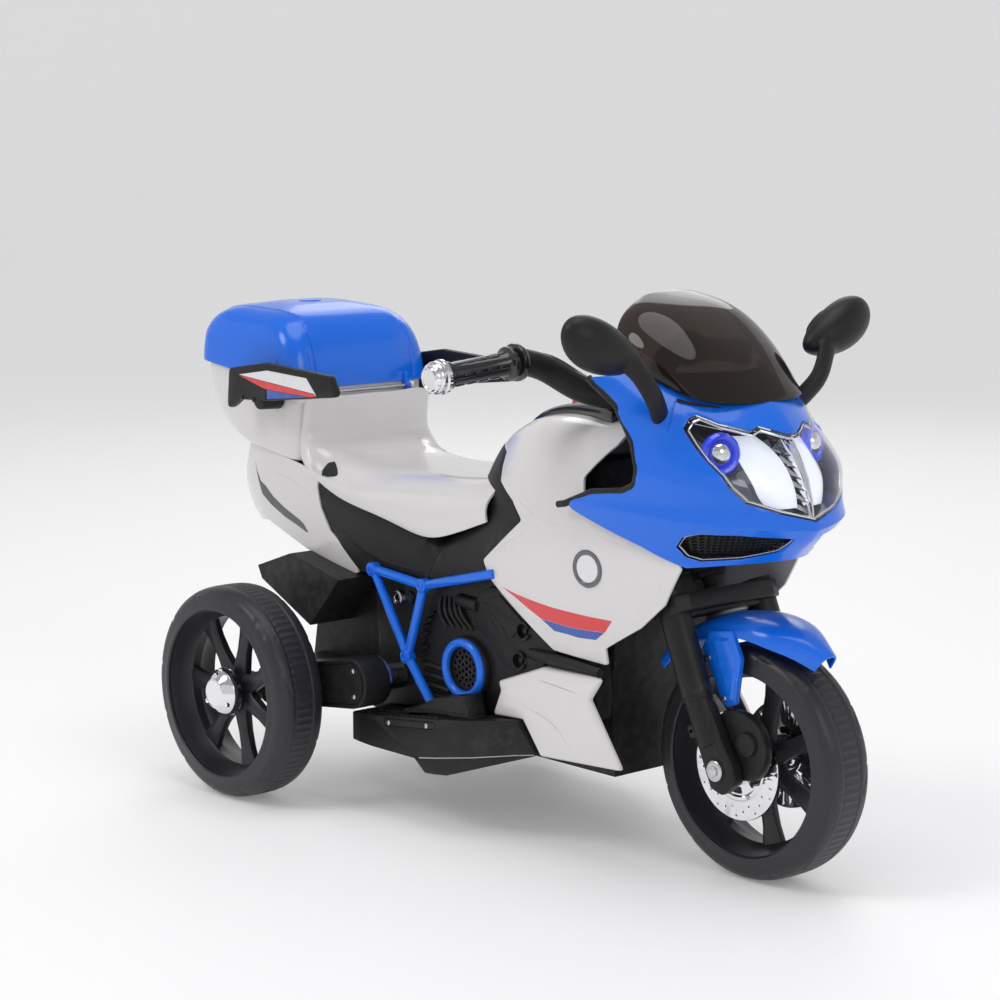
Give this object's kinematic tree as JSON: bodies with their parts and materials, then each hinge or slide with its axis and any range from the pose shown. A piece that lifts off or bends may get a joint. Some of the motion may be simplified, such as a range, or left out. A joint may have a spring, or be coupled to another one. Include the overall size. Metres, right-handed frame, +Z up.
{
  "type": "kids ride-on motorcycle",
  "caption": "battery-driven kids ride-on motorcycle with outboard rear wheels, nose fairing, windscreen, handlebar, mirrors and storage box",
  "frame": {"origin": "centre of the bounding box, on the floor under the three tyres", "axes": "x forwards, from the storage box to the front wheel; y towards the rider's left hand; z up"},
  "size_m": [1.105, 0.5548, 0.6854],
  "materials": {
    "white_gloss": "gloss",
    "blue_gloss": "gloss",
    "black_gloss": "gloss",
    "black_satin": "satin",
    "red_plastic": "gloss",
    "tyre_black": "satin",
    "chrome_trim": "gloss",
    "axle_steel": "satin",
    "motor_steel": "satin",
    "yellow_plastic": "gloss",
    "battery_case": "matte",
    "clear_lens": "gloss",
    "smoked_screen": "gloss"
  },
  "bodies": {
    "chassis": {"battery": "battery_case", "body_side_left": "white_gloss", "body_side_right": "white_gloss", "charging_socket": "axle_steel", "chassis": "black_satin", "dashboard": "black_gloss", "drive_motor": "motor_steel", "engine_cover_left": "black_satin", "engine_cover_right": "black_satin", "footboard": "black_satin", "gearbox_housing": "black_satin", "handle_wing_left": "black_satin", "handle_wing_right": "black_satin", "headlight_lens": "clear_lens", "headlight_reflector": "chrome_trim", "intake_grille_left": "black_satin", "intake_grille_right": "black_satin", "lid_hinge_pin": "axle_steel", "lower_fairing_left": "white_gloss", "lower_fairing_right": "white_gloss", "mirror_left": "black_gloss", "mirror_right": "black_gloss", "nose_fairing": "blue_gloss", "rear_axle": "axle_steel", "seat": "white_gloss", "side_panel_left": "black_satin", "side_panel_right": "black_satin", "speaker_ring": "blue_gloss", "steering_bush": "black_gloss", "storage_box": "white_gloss", "tail_panel_left": "white_gloss", "tail_panel_right": "white_gloss", "trellis_left": "blue_gloss", "trellis_right": "blue_gloss", "windscreen": "smoked_screen"},
    "steering": {"fork_leg_left": "black_satin", "fork_leg_right": "black_satin", "fork_yoke": "black_satin", "steering_column": "axle_steel", "mudguard_front": "blue_gloss", "caliper_cover_left": "black_satin", "caliper_cover_right": "black_satin", "front_axle": "axle_steel", "handlebar": "black_satin", "grip_left": "black_gloss", "grip_right": "black_gloss", "bar_cap_left": "chrome_trim", "bar_cap_right": "chrome_trim"},
    "front_wheel": {"wheel_front": "tyre_black", "brake_disc_left": "chrome_trim", "brake_disc_right": "chrome_trim"},
    "left_wheel": {"wheel_rear_left": "tyre_black", "hub_cap_left": "chrome_trim"},
    "right_wheel": {"wheel_rear_right": "tyre_black", "hub_cap_right": "chrome_trim"},
    "lid": {"box_lid": "blue_gloss"},
    "pedal": {"accelerator_pedal": "black_satin"},
    "power_rocker": {"power_switch": "red_plastic"},
    "direction_rocker": {"direction_switch": "black_gloss"},
    "horn": {"horn_button": "yellow_plastic"}
  },
  "joints": [
    {"name": "steering_swivel", "type": "hinge", "parent": "chassis", "child": "steering", "pos_m": [0.4125, 0, 0.14], "axis": [-0.3907, 0, 0.9205], "range_deg": [-25, 25]},
    {"name": "front_wheel_spin", "type": "hinge", "parent": "steering", "child": "front_wheel", "pos_m": [0.4125, 0, 0.14], "axis": [0, 1, 0], "continuous": true},
    {"name": "left_wheel_spin", "type": "hinge", "parent": "chassis", "child": "left_wheel", "pos_m": [-0.3, 0.235, 0.14], "axis": [0, 1, 0], "continuous": true},
    {"name": "right_wheel_spin", "type": "hinge", "parent": "chassis", "child": "right_wheel", "pos_m": [-0.3, -0.235, 0.14], "axis": [0, 1, 0], "continuous": true},
    {"name": "lid_hinge", "type": "hinge", "parent": "chassis", "child": "lid", "pos_m": [-0.32, 0, 0.52], "axis": [0, 1, 0], "range_deg": [0, 80]},
    {"name": "pedal_press", "type": "hinge", "parent": "chassis", "child": "pedal", "pos_m": [-0.06, -0.13525, 0.138], "axis": [0, 1, 0], "range_deg": [0, 8], "stiffness_Nm_per_rad": 2, "springref_deg": -6.02},
    {"name": "power_rock", "type": "hinge", "parent": "chassis", "child": "power_rocker", "pos_m": [0.1005, 0, 0.5356], "axis": [0, 1, 0], "range_deg": [-8, 8]},
    {"name": "direction_rock", "type": "hinge", "parent": "chassis", "child": "direction_rocker", "pos_m": [0.1405, -0.014, 0.54115], "axis": [0, 1, 0], "range_deg": [-8, 8]},
    {"name": "horn_press", "type": "slide", "parent": "chassis", "child": "horn", "axis": [0, 0, -1], "range_m": [0, 0.0015], "stiffness_N_per_m": 300, "springref_m": -0.002}
  ]
}
